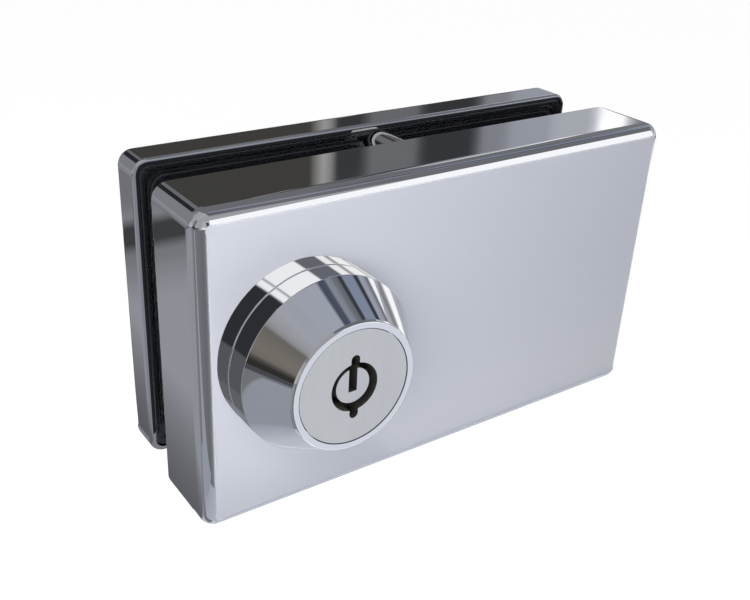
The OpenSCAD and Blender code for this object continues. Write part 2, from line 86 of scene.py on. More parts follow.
class Slot(Enum):
    """Material slots of the lock's record."""

    CASE_CHROME = "case_chrome"
    POLISHED_CHROME = "polished_chrome"
    SATIN_NICKEL = "satin_nickel"
    STEEL = "steel"
    BRASS = "brass"
    BLACK_RUBBER = "black_rubber"
    BLACK_PLASTIC = "black_plastic"
    NYLON = "nylon"


class Body(Enum):
    """Moving bodies of the lock."""

    HOUSING = "housing"
    KEY_SPINDLE = "key_spindle"
    SLIDING_BOLT = "sliding_bolt"


# Surfaces


def grid_faces(rows: int, columns: int, wrap_rows: bool, wrap_columns: bool) -> Array:
    """Numbers the quads of a rows by columns grid of points, counted row after row.

    Args:
        rows: points along the first parameter.
        columns: points along the second parameter.
        wrap_rows: whether the last row joins the first.
        wrap_columns: whether the last column joins the first.

    Returns:
        An array of four point numbers for each quad.
    """
    i = np.arange(rows if wrap_rows else rows - 1)[:, None]
    j = np.arange(columns if wrap_columns else columns - 1)[None, :]
    ni, nj = (i + 1) % rows, (j + 1) % columns
    quads = np.stack([i * columns + j, i * columns + nj, ni * columns + nj, ni * columns + j], axis=-1)
    return quads.reshape(-1, 4)


def rows(*columns: Array | float) -> Array:
    """Returns the points of a grid one after the other, from the grids of their coordinates."""
    return np.stack(np.broadcast_arrays(*columns), axis=-1).reshape(-1, len(columns))


def add_object(name: str, data: bpy.types.ID) -> bpy.types.Object:
    """Adds an object to the scene.

    Args:
        name: the object's name.
        data: its mesh, lamp or camera.

    Returns:
        The object.
    """
    item = bpy.data.objects.new(name, data)
    bpy.context.scene.collection.objects.link(item)
    return item


def outward(points: Array, quads: Array) -> Array:
    """Turns all quads of a closed surface outwards, by the sign of the volume they enclose.

    Args:
        points: the surface's points.
        quads: the surface's quads.

    Returns:
        The quads, in reverse order where the volume was negative.
    """
    a, b, c, d = (points[quads[:, k]] for k in range(4))
    volume = np.einsum("ij,ij->", a, np.cross(b, c)) + np.einsum("ij,ij->", a, np.cross(c, d))
    return quads if volume > 0 else quads[:, ::-1]


def facing(points: Array, quads: Array, targets: Array) -> Array:
    """Turns each quad of an open surface towards the target of its first point.

    Args:
        points: the surface's points.
        quads: the surface's quads.
        targets: a point for each of the surface's points.

    Returns:
        The quads, in reverse order where they faced away.
    """
    a, b, c, d = (points[quads[:, k]] for k in range(4))
    away = np.einsum("ij,ij->i", np.cross(c - a, d - b), targets[quads[:, 0]] - a) < 0
    return np.where(away[:, None], quads[:, ::-1], quads)


def make_piece(name: str, points: Array, faces: list[Array], material: Material) -> bpy.types.Object:
    """Puts points and their faces into a smooth mesh object at the origin.

    Args:
        name: the piece's name.
        points: an array of points in the lock's frame, in metres.
        faces: arrays of point numbers, one array for each kind of face.
        material: the finish of the whole piece.

    Returns:
        The new object.
    """
    mesh = bpy.data.meshes.new(name)
    polygons = [tuple(row) for block in faces for row in block.tolist()]
    mesh.from_pydata(points.tolist(), [], polygons)
    mesh.polygons.foreach_set("use_smooth", np.ones(len(mesh.polygons), dtype=bool))
    mesh.materials.append(material)
    mesh.update()
    return add_object(name, mesh)


def rounded_outline(corners: list[Pair], radii: list[float], steps: int = 8, hold: float = 0.04) -> Array:
    """Rounds each corner of a closed outline by a circular arc that touches both its edges.

    Each arc runs from one touching point to the other, at equal angles about its centre, and
    a point close to each of its ends keeps the straight runs flat when they are shaded.

    Args:
        corners: the outline's corners in order, as pairs.
        radii: the radius at each corner.
        steps: arc steps at each corner.
        hold: distance of the holding points from the ends of an arc.

    Returns:
        The outline's points, as an array of pairs.
    """
    runs = []
    for k, radius in enumerate(radii):
        here = np.array(corners[k], float)
        before = np.array(corners[k - 1], float) - here
        after = np.array(corners[(k + 1) % len(corners)], float) - here
        before, after = before / np.linalg.norm(before), after / np.linalg.norm(after)
        half = math.acos(float(np.clip(np.dot(before, after), -1, 1))) / 2
        reach = radius / math.tan(half)
        middle = before + after
        centre = here + middle / np.linalg.norm(middle) * radius / math.sin(half)
        start, end = here + before * reach - centre, here + after * reach - centre
        first, last = math.atan2(start[1], start[0]), math.atan2(end[1], end[0])
        sweep = (last - first + math.pi) % (2 * math.pi) - math.pi
        angle = first + sweep * np.linspace(0, 1, steps + 1)
        arc = centre + radius * np.stack([np.cos(angle), np.sin(angle)], axis=-1)
        runs.append(np.vstack([arc[0] + before * hold, arc, arc[-1] + after * hold]))
    return np.vstack(runs)


def turned_surface(outline: Array, axis: Pair, steps: int) -> tuple[Array, Array]:
    """Turns a closed outline of radius and depth about an axis along Y.

    A point at radius r and depth y goes to axis + r (cos a, sin a) in X and Z, for equal steps of a.

    Args:
        outline: pairs of radius and depth, closed by itself.
        axis: X and Z of the axis.
        steps: steps in a full turn.

    Returns:
        The points and the quads of the ring.
    """
    angle = np.linspace(0, 2 * math.pi, steps, endpoint=False)[:, None]
    radius, depth = outline[:, 0][None, :], outline[:, 1][None, :]
    points = rows(axis[0] + radius * np.cos(angle), depth, axis[1] + radius * np.sin(angle))
    quads = grid_faces(steps, len(outline), True, True)
    return points, outward(points, quads)


def rectangle_loop(half_w: Array, half_h: Array, radius: Array, steps: int = 6, hold: float = 0.05) -> Array:
    """Gives rounded rectangles about the origin, one for each entry, all with as many points.

    Each corner is a quarter circle at equal angles about the point one radius in from both sides,
    with a point on each side close to the arc so that the sides stay flat when they are shaded.

    Args:
        half_w: half the width of each rectangle.
        half_h: half the height of each rectangle.
        radius: corner radius of each rectangle.
        steps: arc steps in a corner.
        hold: distance of the holding points from the arcs.

    Returns:
        An array of rectangles by points by X and Z.
    """
    quarter = np.linspace(0, math.pi / 2, steps + 1)
    with_ends = np.r_[quarter[0], quarter, quarter[-1]]
    angle = np.concatenate([q + with_ends for q in np.arange(4) * math.pi / 2])
    sign = np.repeat(np.array([[1, 1], [-1, 1], [-1, -1], [1, -1]]), steps + 3, axis=0)
    along = np.zeros((4, steps + 3, 2))
    tangent = np.stack([-np.sin(angle), np.cos(angle)], axis=-1).reshape(4, steps + 3, 2)
    along[:, 0] = -hold * tangent[:, 0]
    along[:, -1] = hold * tangent[:, -1]
    centre = np.stack([half_w - radius, half_h - radius], axis=-1)[:, None, :] * sign[None]
    arc = np.stack([np.cos(angle), np.sin(angle)], axis=-1)[None] * radius[:, None, None]
    return centre + arc + along.reshape(1, -1, 2)


def framed_surface(frames: Array, middle: Pair, closed: bool) -> tuple[Array, list[Array]]:
    """Lofts rounded rectangles that stand behind each other along Y.

    Each frame gives half width, half height, corner radius and depth of one rectangle.

    Args:
        frames: the rectangles in order.
        middle: X and Z of their common middle.
        closed: whether the last rectangle joins the first, as on a ring; if not, both ends are capped.

    Returns:
        The points and the faces.
    """
    loops = rectangle_loop(frames[:, 0], frames[:, 1], frames[:, 2])
    count = loops.shape[1]
    points = rows(middle[0] + loops[..., 0], frames[:, 3][:, None], middle[1] + loops[..., 1])
    quads = grid_faces(len(frames), count, closed, True)
    turned = outward(points, quads)
    if closed:
        return points, [turned]
    order = 1 if turned is quads else -1
    first, last = np.arange(count), np.arange(count) + (len(frames) - 1) * count
    return points, [turned, first[None, ::-order], last[None, ::order]]


# Finishes


class NodeSheet:
    """The node tree of a material or a world, under construction."""

    def __init__(self, owner: Material | bpy.types.World) -> None:
        """Gives a material or a world an empty tree.

        Args:
            owner: the material or the world.
        """
        owner.use_nodes = True
        self.tree = owner.node_tree
        self.tree.nodes.clear()

    def fill(self, node: bpy.types.Node, inputs: Inputs) -> None:
        """Gives the inputs of a node their values.

        Args:
            node: the node.
            inputs: a fixed value, or an output to link, for each input by its name or number.
        """
        for name, value in inputs.items():
            if isinstance(value, Socket):
                self.tree.links.new(value, node.inputs[name])
            else:
                node.inputs[name].default_value = value

    def node(self, kind: str, inputs: Inputs | None = None, **settings: object) -> bpy.types.Node:
        """Adds a node.

        Args:
            kind: the kind of shader node.
            inputs: its inputs, as they are filled.
            settings: its settings, such as the operation.

        Returns:
            The node.
        """
        node = self.tree.nodes.new(f"ShaderNode{kind}")
        for name, value in settings.items():
            setattr(node, name, value)
        self.fill(node, inputs or {})
        return node

    def ramp(
        self, value: Socket, low: float, high: float, to_low: float, to_high: float, shape: str = "SMOOTHSTEP"
    ) -> Socket:
        """Maps a value from one range to another, held at the ends.

        Args:
            value: the value to map.
            low: where the range starts.
            high: where it ends.
            to_low: result at and below low.
            to_high: result at and above high.
            shape: how the result changes between them.

        Returns:
            The mapped value.
        """
        ends = {"From Min": low, "From Max": high, "To Min": to_low, "To Max": to_high}
        return self.node("MapRange", {"Value": value, **ends}, interpolation_type=shape).outputs["Result"]

    def maths(self, how: str, first: Socket, second: Socket | float = 0.0, clamp: bool = False) -> Socket:
        """Returns the result of a Math node, clamped from 0 to 1 on request."""
        return self.node("Math", {0: first, 1: second}, operation=how, use_clamp=clamp).outputs["Value"]

    def seen_rays(self) -> Socket:
        """Tells the rays that see the set from the rays that carry light.

        Returns:
            1 on camera, reflection and see-through rays, and 0 on others.
        """
        path = self.node("LightPath").outputs
        either = self.maths("MAXIMUM", path["Is Camera Ray"], path["Is Glossy Ray"])
        return self.maths("MAXIMUM", either, path["Is Transmission Ray"])


class ShaderSheet(NodeSheet):
    """A node material under construction, with one Principled shader."""

    def __init__(self, name: str) -> None:
        """Starts a material with a Principled shader and its output.

        Args:
            name: the material's name.
        """
        self.material = bpy.data.materials.new(name)
        super().__init__(self.material)
        self.shader = self.node("BsdfPrincipled")
        self.node("OutputMaterial", {"Surface": self.shader.outputs["BSDF"]})
        self.coordinates = self.node("TexCoord").outputs["Object"]

    def noise(
        self, scale: float, detail: float = 2.0, rough: float = 0.6, stretch: Triple | None = None
    ) -> Socket:
        """Adds a noise pattern on the object coordinates.

        Args:
            scale: waves in a metre.
            detail: octaves of finer noise.
            rough: strength of the finer noise.
            stretch: scale for each axis, where the pattern isn't the same all ways.

        Returns:
            The noise value, about 0.5 on average.
        """
        place = self.coordinates
        if stretch:
            place = self.node("Mapping", {"Vector": place, "Scale": stretch}).outputs["Vector"]
        inputs = {"Vector": place, "Scale": scale, "Detail": detail, "Roughness": rough}
        return self.node("TexNoise", inputs).outputs["Fac"]

    def blend(self, factor: Socket, first: Colour, second: Colour) -> Socket:
        """Returns a colour that goes from first to second with a factor."""
        ends = {"Factor": factor, "A": (*first, 1.0), "B": (*second, 1.0)}
        return self.node("Mix", ends, data_type="RGBA").outputs["Result"]

    def part_of(self, axis: str) -> Socket:
        """Returns the X, Y or Z of the object coordinates."""
        return self.node("SeparateXYZ", {"Vector": self.coordinates}).outputs[axis]

    def away_from(self, axis: Pair) -> Socket:
        """Returns the distance in metres from a line along Y.

        Args:
            axis: X and Z of the line in millimetres.

        Returns:
            The distance.
        """
        moved = (-axis[0] * MM, 0.0, -axis[1] * MM)
        inputs = {0: self.coordinates, 1: (1.0, 0.0, 1.0), 2: moved}
        flat = self.node("VectorMath", inputs, operation="MULTIPLY_ADD").outputs["Vector"]
        return self.node("VectorMath", {0: flat}, operation="LENGTH").outputs["Value"]

    def bump(self, height: Socket, strength: float, distance: float) -> Socket:
        """Returns the normal of a skin raised by a pattern, whose full range is a distance in metres."""
        inputs = {"Height": height, "Strength": strength, "Distance": distance}
        return self.node("Bump", inputs).outputs["Normal"]

    def dressed(self, inputs: Inputs) -> Material:
        """Gives the shader its inputs and returns the finished material."""
        self.fill(self.shader, inputs)
        return self.material


@dataclass(frozen=True)
class PolishedFinish:
    """Bright chrome plate with faint handling marks."""

    slot: Slot = Slot.POLISHED_CHROME
    colour: Colour = (0.80, 0.81, 0.84)
    worn: Colour = (0.74, 0.74, 0.76)
    roughness: Pair = (0.03, 0.09)
    marks: float = 90.0

    def material(self) -> Material:
        """Builds the material: a mirror whose gloss and tint drift slightly in large soft patches.

        Returns:
            The material.
        """
        sheet = ShaderSheet("chrome_polished")
        marks = sheet.noise(self.marks, 3.0, 0.55)
        return sheet.dressed({
            "Metallic": 1.0,
            "Base Color": sheet.blend(marks, self.colour, self.worn),
            "Roughness": sheet.ramp(marks, 0.35, 0.75, *self.roughness),
        })


@dataclass(frozen=True)
class CaseFinish:
    """Chrome plate of the case: satin on the flat front, polished on the rest."""

    slot: Slot = Slot.CASE_CHROME
    wrap: Pair = (0.004, 0.12)
    satin: Colour = (0.605, 0.625, 0.69)
    polished: Colour = (0.80, 0.81, 0.84)
    satin_metal: float = 0.25
    satin_roughness: Pair = (0.38, 0.44)
    polished_roughness: Pair = (0.03, 0.08)
    grain: float = 5200.0
    marks: float = 85.0

    def material(self) -> Material:
        """Builds the material: a soft-edged mask at the front plane parts the two finishes.

        Returns:
            The material.
        """
        sheet = ShaderSheet("case_satin_and_polished")
        start, end = (CASE_FRONT * MM + depth * MM for depth in self.wrap)
        mask = sheet.ramp(sheet.part_of("Y"), start, end, 1.0, 0.0)
        grain = sheet.noise(self.grain)
        marks = sheet.noise(self.marks, 3.0, 0.55)
        satin = sheet.ramp(grain, 0.3, 0.7, *self.satin_roughness)
        bright = sheet.ramp(marks, 0.35, 0.75, *self.polished_roughness)
        return sheet.dressed({
            "Metallic": sheet.ramp(mask, 0.0, 1.0, 1.0, self.satin_metal),
            "Base Color": sheet.blend(mask, self.polished, self.satin),
            "Roughness": sheet.node("Mix", {"Factor": mask, "A": bright, "B": satin}).outputs["Result"],
            "Normal": sheet.bump(sheet.maths("MULTIPLY", grain, mask), 0.12, 0.01 * MM),
        })


@dataclass(frozen=True)
class CylinderFinish:
    """Satin nickel of the key cylinder, dull down in the keyway, with shade painted into its colour there."""

    slot: Slot = Slot.SATIN_NICKEL
    colour: Colour = (0.573, 0.577, 0.567)
    second: Colour = (0.64, 0.645, 0.635)
    # Painted shade: the colour given to the keyway's recess
    keyway_shade: Colour = (0.22, 0.215, 0.2)
    roughness: Pair = (0.32, 0.42)
    # Painted keyway shade: it sets in from these depths beyond the post's radius, and only from deeper ones
    # on the post
    post_r: Pair = (3.42, 3.45)
    post_y: Pair = (-27.0, -26.8)
    keyway_shade_y: Pair = (-27.5, -27.0)
    grain: float = 4200.0
    streaks: float = 420.0

    def material(self) -> Material:
        """Builds the material: a fine grain on the faces, and a mask that paints shade into the ring-shaped
        keyway.

        Returns:
            The material.
        """
        sheet = ShaderSheet("nickel_satin")
        grain = sheet.noise(self.grain)
        streaks = sheet.noise(self.streaks, 3.0, stretch=(1.0, 1.0, 0.18))
        away, y = sheet.away_from(COLLAR_AXIS), sheet.part_of("Y")
        # Mask of the painted shade: deeper than the face round the post, and deeper still on the post itself
        ring, below, depth = (
            sheet.ramp(value, low * MM, high * MM, 0.0, 1.0)
            for value, (low, high) in ((away, self.post_r), (y, self.post_y), (y, self.keyway_shade_y))
        )
        depth = sheet.maths("MULTIPLY", depth, sheet.maths("MAXIMUM", ring, below))
        face = sheet.blend(streaks, self.colour, self.second)
        # Painted shade: the keyway's colour goes over to the shade colour by the mask
        ends = {"Factor": depth, "A": face, "B": (*self.keyway_shade, 1.0)}
        satin = sheet.ramp(grain, 0.3, 0.7, *self.roughness)
        return sheet.dressed({
            "Metallic": 1.0,
            "Base Color": sheet.node("Mix", ends, data_type="RGBA").outputs["Result"],
            "Roughness": sheet.maths("MAXIMUM", satin, depth),
            "Normal": sheet.bump(grain, 0.12, 0.006 * MM),
        })


@dataclass(frozen=True)
class GrainedMetal:
    """A plain worked metal with a fine grain."""

    name: str
    slot: Slot
    colour: Colour
    second: Colour
    roughness: Pair
    grain: float
    depth: float = 0.004
    patches: float = 160.0

    def material(self) -> Material:
        """Builds the material: the grain shades the gloss and a shallow bump, and patches the colour.

        Returns:
            The material.
        """
        sheet = ShaderSheet(self.name)
        grain = sheet.noise(self.grain)
        return sheet.dressed({
            "Metallic": 1.0,
            "Base Color": sheet.blend(sheet.noise(self.patches, 2.0, 0.5), self.colour, self.second),
            "Roughness": sheet.ramp(grain, 0.3, 0.7, *self.roughness),
            "Normal": sheet.bump(grain, 0.15, self.depth * MM),
        })


@dataclass(frozen=True)
class MouldedFinish:
    """Moulded rubber or plastic with a faint mottle."""

    name: str
    slot: Slot
    colour: Colour
    second: Colour
    roughness: Pair
    mottle: float
    depth: float
    gloss: float = 0.5

    def material(self) -> Material:
        """Builds the material: a mottle shades the colour and gloss, and lifts the skin slightly.

        Returns:
            The material.
        """
        sheet = ShaderSheet(self.name)
        mottle = sheet.noise(self.mottle, 4.0)
        return sheet.dressed({
            "Specular IOR Level": self.gloss,
            "Base Color": sheet.blend(mottle, self.colour, self.second),
            "Roughness": sheet.ramp(mottle, 0.3, 0.7, *self.roughness),
            "Normal": sheet.bump(mottle, 0.2, self.depth * MM),
        })


def finish_book() -> dict[Slot, Material]:
    """Builds the finishes.

    Returns:
        The material of every slot of the record.
    """
    steel = ((0.52, 0.53, 0.55), (0.60, 0.60, 0.60), (0.26, 0.36), 2600.0)
    brass = ((0.72, 0.56, 0.28), (0.66, 0.50, 0.24), (0.22, 0.32), 3000.0)
    rubber = ((0.009, 0.010, 0.013), (0.014, 0.015, 0.019), (0.16, 0.28), 900.0, 0.002, 1.0)
    plastic = ((0.007, 0.008, 0.010), (0.013, 0.014, 0.017), (0.10, 0.24), 400.0, 0.003, 1.0)
    nylon = ((0.80, 0.78, 0.72), (0.74, 0.72, 0.66), (0.42, 0.52), 1400.0, 0.01)
    finishes = [
        PolishedFinish(),
        CaseFinish(),
        CylinderFinish(),
        GrainedMetal("steel_zinc_plated", Slot.STEEL, *steel),
        GrainedMetal("brass_machined", Slot.BRASS, *brass),
        MouldedFinish("rubber_black", Slot.BLACK_RUBBER, *rubber),
        MouldedFinish("plastic_black", Slot.BLACK_PLASTIC, *plastic),
        MouldedFinish("nylon_white", Slot.NYLON, *nylon),
    ]
    return {finish.slot: finish.material() for finish in finishes}


# The lock


def settle(piece: bpy.types.Object, body: Body, slot: Slot, *nodes: str) -> None:
    """Lets a piece ride on a body and stand for CAD nodes.

    Args:
        piece: the new piece.
        body: the body that it moves with.
        slot: its material slot; not used.
        nodes: the nodes that it replaces.
    """
    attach(piece, body.value)
    if nodes:
        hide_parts(*nodes)
    LOG.info("piece %s: %d faces, rides on %s", piece.name, len(piece.data.polygons), body.value)


@dataclass
class KeyCollar:
    """Base ring and conical collar round the key cylinder, both turned and polished."""

    bore_r: float = 9.55
    face_bore_r: float = 11.15
    outer_r: float = 17.4
    rim_r: float = 12.5
    base_h: float = 4.4
    skirt_h: float = 4.7
    rim_foot: float = 16.85
    top: float = 17.5
    seat: float = 14.2
    steps: int = 192

    def build(self, finishes: dict[Slot, Material]) -> None:
        """Builds both rings.

        Args:
            finishes: the material of each slot.
        """
        material = finishes[Slot.POLISHED_CHROME]
        for name, outline in (("base_ring", self.base_outline()), ("cone_collar", self.collar_outline())):
            points, quads = turned_surface(outline, COLLAR_AXIS, self.steps)
            piece = make_piece(f"{name}_turned", points * MM, [quads], material)
            settle(piece, Body.HOUSING, Slot.POLISHED_CHROME, name)

    def base_outline(self) -> Array:
        """Draws the base ring's section: a flat band whose front edge is eased beside the seam.

        Returns:
            Pairs of radius and depth.
        """
        y = CASE_FRONT
        front = y - self.base_h
        corners = [(self.bore_r, y), (self.outer_r, y), (self.outer_r, front), (self.bore_r, front)]
        return rounded_outline(corners, [0.1, 0.12, 0.3, 0.1])

    def collar_outline(self) -> Array:
        """Draws the collar's section: skirt, cone, short bright rim and the stepped bore.

        Returns:
            Pairs of radius and depth.
        """
        y = CASE_FRONT
        corners = [
            (self.bore_r, y - self.base_h),
            (self.outer_r, y - self.base_h),
            (self.outer_r, y - self.base_h - self.skirt_h),
            (self.rim_r, y - self.rim_foot),
            (self.rim_r - 0.2, y - self.top),
            (self.face_bore_r, y - self.top),
            (self.face_bore_r, y - self.seat),
            (self.bore_r, y - self.seat),
        ]
        return rounded_outline(corners, [0.1, 0.3, 0.35, 0.12, 0.3, 0.08, 0.05, 0.05])


@dataclass
class BackPlate:
    """Black insert and rubber bead inside the polished back shell."""

    middle: Pair = (0.0, 32.5)
    half_w: float = 53.65
    half_h: float = 31.25
    lip_y: float = 18.45
    floor_y: float = 25.85
    bead_w: float = 1.4
    bead_drop: float = 0.1
    groove_w: float = 0.8
    groove_depth: float = 1.2
    pad_run: float = 4.0
    corner: float = 2.03
    corner_growth: float = 0.5

    def build(self, finishes: dict[Slot, Material]) -> None:
        """Builds the bead and the insert.

        Args:
            finishes: the material of each slot.
        """
        for name, section, slot in (
            ("back_bead", self.bead_section(), Slot.BLACK_RUBBER),
            ("back_insert", self.insert_section(), Slot.BLACK_PLASTIC),
        ):
            points, faces = framed_surface(self.frames(section), self.middle, name == "back_bead")
            piece = make_piece(f"{name}_moulded", points * MM, faces, finishes[slot])
            settle(piece, Body.HOUSING, slot, name)

    def frames(self, section: Array) -> Array:
        """Turns a section into rectangles that shrink by its inset.

        Args:
            section: pairs of inset and depth.

        Returns:
            Half width, half height, corner radius and depth of each rectangle.
        """
        inset, depth = section[:, 0], section[:, 1]
        radius = self.corner + self.corner_growth * inset
        return np.stack([self.half_w - inset, self.half_h - inset, radius, depth], axis=-1)

    def bead_section(self) -> Array:
        """Draws the bead's section: a strip with a nearly half-round front.

        Returns:
            Pairs of inset and depth.
        """
        top, floor = self.lip_y + self.bead_drop, self.lip_y + self.groove_depth
        corners = [(0.0, floor), (0.0, top), (self.bead_w, top), (self.bead_w, floor)]
        return rounded_outline(corners, [0.05, 0.6, 0.6, 0.05])

    def insert_section(self) -> Array:
        """Draws the insert's half section, from the back over the groove to the raised pad.

        Returns:
            Pairs of inset and depth.
        """
        floor, pad = self.lip_y + self.groove_depth, self.bead_w + self.groove_w
        corners = [
            (pad + self.pad_run, self.floor_y),
            (0.0, self.floor_y),
            (0.0, floor),
            (pad, floor),
            (pad, self.lip_y),
            (pad + self.pad_run, self.lip_y),
        ]
        outline = rounded_outline(corners, [0.1, 0.1, 0.1, 0.15, 0.5, 0.1])
        keep = outline[:, 0] < pad + self.pad_run - 1.0
        return outline[keep]


# The studio


def direction(azimuth: float, elevation: float) -> Array:
    """Returns the unit vector that is turned from +Y towards +X and then up, by angles in degrees."""
    a, e = math.radians(azimuth), math.radians(elevation)
    return np.array([math.sin(a) * math.cos(e), math.cos(a) * math.cos(e), math.sin(e)])


def square_grid(count: int) -> Surface:
    """Returns both coordinates, from -1 to 1, of a square of count by count points, and its quads."""
    u, v = np.meshgrid(np.linspace(-1, 1, count), np.linspace(-1, 1, count))
    return u.ravel(), v.ravel(), grid_faces(count, count, False, False)


def fan_grid(turns: tuple[float, float, int], runs: tuple[float, float, int]) -> Surface:
    """Gives a grid of two parameters.

    Args:
        turns: first, last and number of the angles.
        runs: first, last and number of the places along each angle.

    Returns:
        The angle and the place at each point, and the quads.
    """
    turn, run = np.meshgrid(np.linspace(*turns), np.linspace(*runs), indexing="ij")
    return turn, run, grid_faces(*turn.shape, False, False)


def grey(level: float, blue: float = 0.0) -> Colour:
    """Returns a grey, made colder by a share of blue or warmer by a negative one."""
    return (level * (1 - 0.5 * blue), level, level * (1 + 1.3 * blue))


def greys(*stops: tuple[float, ...]) -> Bands:
    """Returns bands of grey, from places that each have a level and a share of blue."""
    return tuple((place, grey(*tone)) for place, *tone in stops)


def plain(level: float, blue: float = 0.0) -> Bands:
    """Returns the bands of a panel of one grey."""
    return ((0.0, grey(level, blue)),)


def spans(edges: Bands, blur: float) -> Bands:
    """Makes bands with narrow soft edges out of the shades that start at given places.

    Args:
        edges: places where a shade starts, with the shade, in order.
        blur: width of the change from one shade to the next.

    Returns:
        The bands, with two places for each change.
    """
    bands = [edges[0]]
    for (_, before), (where, shade) in zip(edges, edges[1:]):
        bands += [(where - blur / 2, before), (where + blur / 2, shade)]
    return tuple(bands)


def placed(bands: Bands, start: float, end: float) -> Bands:
    """Counts the places of bands from 0 at a panel's start to 1 at its end."""
    return tuple(((place - start) / (end - start), shade) for place, shade in bands)


def spread_stops(ramp: bpy.types.ColorRamp, count: int) -> list[bpy.types.ColorRampElement]:
    """Gives a colour ramp a number of stops, evenly spread until they are placed.

    Args:
        ramp: the colour ramp.
        count: the number of stops.

    Returns:
        The stops in order.
    """
    while len(ramp.elements) > 1:
        ramp.elements.remove(ramp.elements[-1])
    for k in range(1, count):
        ramp.elements.new(k / (count - 1))
    return list(ramp.elements)


def panel_material(name: str, bands: Bands, soft: float, one_sided: bool) -> Material:
    """Makes the glow of a panel, with soft edges, that only first reflections show.

    Args:
        name: the material's name.
        bands: places from 0 to 1 along the panel's width, each with the shade there; 1 is white.
        soft: share of each half that fades out.
        one_sided: whether the panel's rear lets everything through.

    Returns:
        The material.
    """
    material = bpy.data.materials.new(name)
    sheet = NodeSheet(material)
    parts = sheet.node("SeparateXYZ", {"Vector": sheet.node("TexCoord").outputs["UV"]}).outputs
    sizes = (sheet.maths("ABSOLUTE", parts[axis]) for axis in ("X", "Y"))
    across, upright = (sheet.ramp(size, 1.0 - soft, 1.0, 1.0, 0.0) for size in sizes)
    early = sheet.maths("LESS_THAN", sheet.node("LightPath").outputs["Ray Depth"], FIRST_REFLECTION)
    shown = sheet.maths("MULTIPLY", sheet.maths("MULTIPLY", across, upright), early)
    if one_sided:
        shown = sheet.maths("SUBTRACT", shown, sheet.node("NewGeometry").outputs["Backfacing"], True)
    shades = sheet.node("ValToRGB", {"Fac": sheet.ramp(parts["X"], -1.0, 1.0, 0.0, 1.0, "LINEAR")})
    for stop, (where, shade) in zip(spread_stops(shades.color_ramp, len(bands)), bands):
        stop.position = where
        stop.color = (*shade, 1.0)
    glow = sheet.node("Emission", {"Color": shades.outputs["Color"]}).outputs["Emission"]
    clear = sheet.node("BsdfTransparent").outputs["BSDF"]
    mix = sheet.node("MixShader", {"Fac": shown, 1: clear, 2: glow})
    sheet.node("OutputMaterial", {"Surface": mix.outputs["Shader"]})
    return material


def flat_surface(middle: Array, side: Array, over: Array) -> Surface:
    """Gives the surface of a flat panel.

    Args:
        middle: the panel's middle.
        side: half its width as a vector.
        over: half its height as a vector.

    Returns:
        The surface, as it is laid.
    """
    u, v, quads = square_grid(3)
    return middle + u[:, None] * side + v[:, None] * over, quads, rows(u, v)


class Panel:
    """A glowing panel of the set that paints reflections: it lights nothing and shows only in first
    reflections.
    """

    def build(self) -> None:
        """Builds the panel, each kind in its own way."""
        raise NotImplementedError

    def lay(self, name: str, surface: Surface, bands: Bands, soft: float, one_sided: bool = False) -> None:
        """Puts the panel into the scene.

        Args:
            name: the panel's name.
            surface: its points in metres, its quads, and the place of each point from -1 to 1 both ways.
            bands: its shades along its width.
            soft: share of each half that fades out.
            one_sided: whether its rear lets everything through.
        """
        points, quads, uv = surface
        panel = make_piece(name, points, [quads], panel_material(name, bands, soft, one_sided))
        corner = np.empty(len(panel.data.loops), dtype=np.int32)
        panel.data.loops.foreach_get("vertex_index", corner)
        panel.data.uv_layers.new(name="panel").data.foreach_set("uv", uv[corner].ravel())
        for kind in ("camera", "diffuse", "shadow", "transmission", "volume_scatter"):
            setattr(panel, f"visible_{kind}", False)


@dataclass(frozen=True)
class Card(Panel):
    """A flat panel that stands off beside the set and paints reflections."""

    name: str
    azimuth: float
    elevation: float
    width: float
    height: float
    bands: Bands
    soft: float = 0.06
    distance: float = 1.2
    upright: bool = False
    aim: Triple = (-0.02, 0.0, 0.04)

    def build(self) -> None:
        """Builds the card in its direction, upright or square to it; its size is an angle in degrees."""
        away, side = direction(self.azimuth, self.elevation), direction(self.azimuth + 90, 0)
        over = direction(0, 90) if self.upright else np.cross(side, away)
        half_w = self.distance * math.tan(math.radians(self.width) / 2)
        half_h = self.distance * math.tan(math.radians(self.height) / 2)
        if self.upright:
            half_w *= math.cos(math.radians(self.elevation))
        middle = np.array(self.aim) + away * self.distance
        surface = flat_surface(middle, side * half_w, over * half_h)
        self.lay(f"card_{self.name}", surface, self.bands, self.soft)


@dataclass(frozen=True)
class CollarFan(Panel):
    """A striped panel against the case's front that paints the reflections in the turned rings of the collar.
    """

    bands: Bands
    ring_r: float = 17.45
    look: Pair = (0.50, -0.42)
    start: float = -62.0
    end: float = 141.0
    reach: float = 12.5
    turns: int = 153
    runs: int = 6

    def build(self) -> None:
        """Builds the panel: each ray is the look direction mirrored in the ring's normal at that angle."""
        turn, run, quads = fan_grid((self.start, self.end, self.turns), (0.0, self.reach, self.runs))
        nx, nz = -np.sin(np.radians(turn)), np.cos(np.radians(turn))
        toward = self.look[0] * nx + self.look[1] * nz
        x = COLLAR_AXIS[0] + self.ring_r * nx + run * (self.look[0] - 2 * toward * nx)
        z = COLLAR_AXIS[1] + self.ring_r * nz + run * (self.look[1] - 2 * toward * nz)
        points = rows(x, CASE_FRONT - PANEL_GAP, z) * MM
        share = (turn - self.start) / (self.end - self.start) * 2 - 1
        surface = points, quads, rows(share, run / self.reach * 1.8 - 0.9)
        self.lay("card_collar_fan", surface, placed(self.bands, self.start, self.end), 0.04, True)


